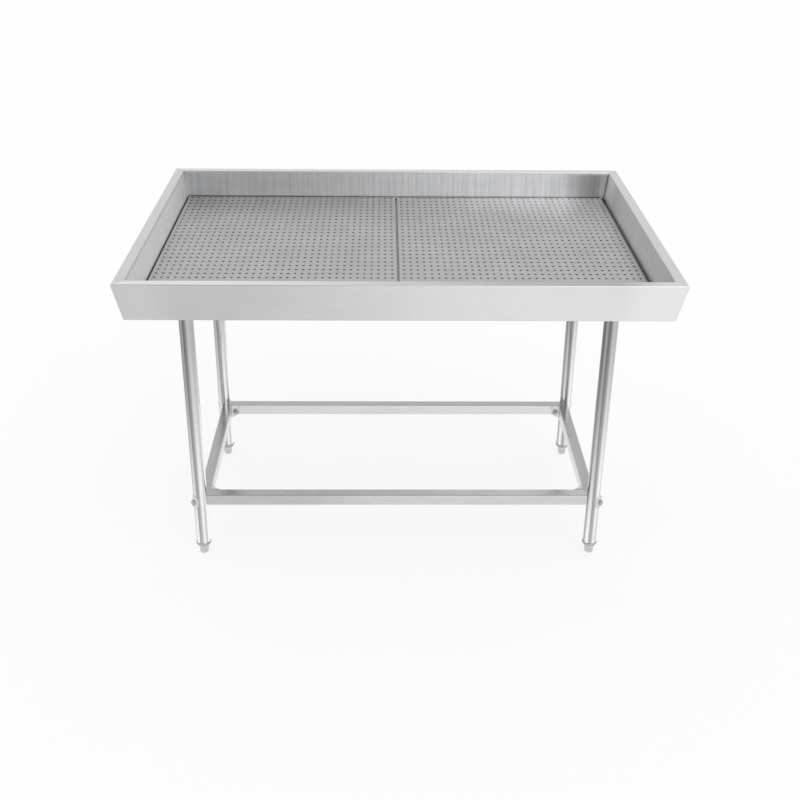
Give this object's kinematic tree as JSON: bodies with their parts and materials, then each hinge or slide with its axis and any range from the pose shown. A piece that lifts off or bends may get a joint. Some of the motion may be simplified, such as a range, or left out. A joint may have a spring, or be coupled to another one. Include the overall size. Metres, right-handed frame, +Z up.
{
  "type": "sunken drain display table",
  "caption": "Stainless steel table with a sunken tray, lift-out perforated plates, drain, channel rails and levelling feet.",
  "frame": {"origin": "on the floor under the middle of the table", "axes": "+X along the long side to the right, +Y from front to back, +Z up"},
  "size_m": [1.3498, 0.8998, 0.9],
  "materials": {
    "brushed_stainless": "brushed along each sheet's length",
    "perforated_stainless": "brushed, perforated with round holes",
    "polished_stainless": "polished tube and turned pieces",
    "plated_fastener": "bright fasteners and pressed saddles"
  },
  "bodies": {
    "table": {"front_wall": "brushed_stainless", "front_rail": "brushed_stainless", "right_wall": "brushed_stainless", "right_rail": "brushed_stainless", "back_wall": "brushed_stainless", "back_rail": "brushed_stainless", "left_wall": "brushed_stainless", "left_rail": "brushed_stainless", "basin_floor": "brushed_stainless", "underside_panel": "brushed_stainless", "left_bearer": "brushed_stainless", "right_bearer": "brushed_stainless", "drain_pipe": "polished_stainless", "leg_plate_front_left": "brushed_stainless", "leg_nut_front_left": "plated_fastener", "leg_stud_front_left": "plated_fastener", "leg_spigot_front_left": "brushed_stainless", "leg_front_left": "polished_stainless", "foot_collar_front_left": "polished_stainless", "gusset_front_left": "brushed_stainless", "saddle_front_left": "plated_fastener", "frame_bolt_front_left": "plated_fastener", "frame_nut_front_left": "plated_fastener", "leg_plate_front_right": "brushed_stainless", "leg_nut_front_right": "plated_fastener", "leg_stud_front_right": "plated_fastener", "leg_spigot_front_right": "brushed_stainless", "leg_front_right": "polished_stainless", "foot_collar_front_right": "polished_stainless", "gusset_front_right": "brushed_stainless", "saddle_front_right": "plated_fastener", "frame_bolt_front_right": "plated_fastener", "frame_nut_front_right": "plated_fastener", "leg_plate_back_right": "brushed_stainless", "leg_nut_back_right": "plated_fastener", "leg_stud_back_right": "plated_fastener", "leg_spigot_back_right": "brushed_stainless", "leg_back_right": "polished_stainless", "foot_collar_back_right": "polished_stainless", "gusset_back_right": "brushed_stainless", "saddle_back_right": "plated_fastener", "frame_bolt_back_right": "plated_fastener", "frame_nut_back_right": "plated_fastener", "leg_plate_back_left": "brushed_stainless", "leg_nut_back_left": "plated_fastener", "leg_stud_back_left": "plated_fastener", "leg_spigot_back_left": "brushed_stainless", "leg_back_left": "polished_stainless", "foot_collar_back_left": "polished_stainless", "gusset_back_left": "brushed_stainless", "saddle_back_left": "plated_fastener", "frame_bolt_back_left": "plated_fastener", "frame_nut_back_left": "plated_fastener"},
    "left_plate": {"left_perforated_plate": "perforated_stainless"},
    "right_plate": {"right_perforated_plate": "perforated_stainless"},
    "foot_front_left": {"levelling_foot_front_left": "polished_stainless"},
    "foot_front_right": {"levelling_foot_front_right": "polished_stainless"},
    "foot_back_right": {"levelling_foot_back_right": "polished_stainless"},
    "foot_back_left": {"levelling_foot_back_left": "polished_stainless"}
  },
  "joints": [
    {"name": "left_plate_lift", "type": "slide", "parent": "table", "child": "left_plate", "axis": [0, 0, 1], "range_m": [0, 0.12]},
    {"name": "right_plate_lift", "type": "slide", "parent": "table", "child": "right_plate", "axis": [0, 0, 1], "range_m": [0, 0.12]},
    {"name": "foot_front_left_height", "type": "slide", "parent": "table", "child": "foot_front_left", "axis": [0, 0, -1], "range_m": [0, 0.02]},
    {"name": "foot_front_right_height", "type": "slide", "parent": "table", "child": "foot_front_right", "axis": [0, 0, -1], "range_m": [0, 0.02]},
    {"name": "foot_back_right_height", "type": "slide", "parent": "table", "child": "foot_back_right", "axis": [0, 0, -1], "range_m": [0, 0.02]},
    {"name": "foot_back_left_height", "type": "slide", "parent": "table", "child": "foot_back_left", "axis": [0, 0, -1], "range_m": [0, 0.02]}
  ]
}
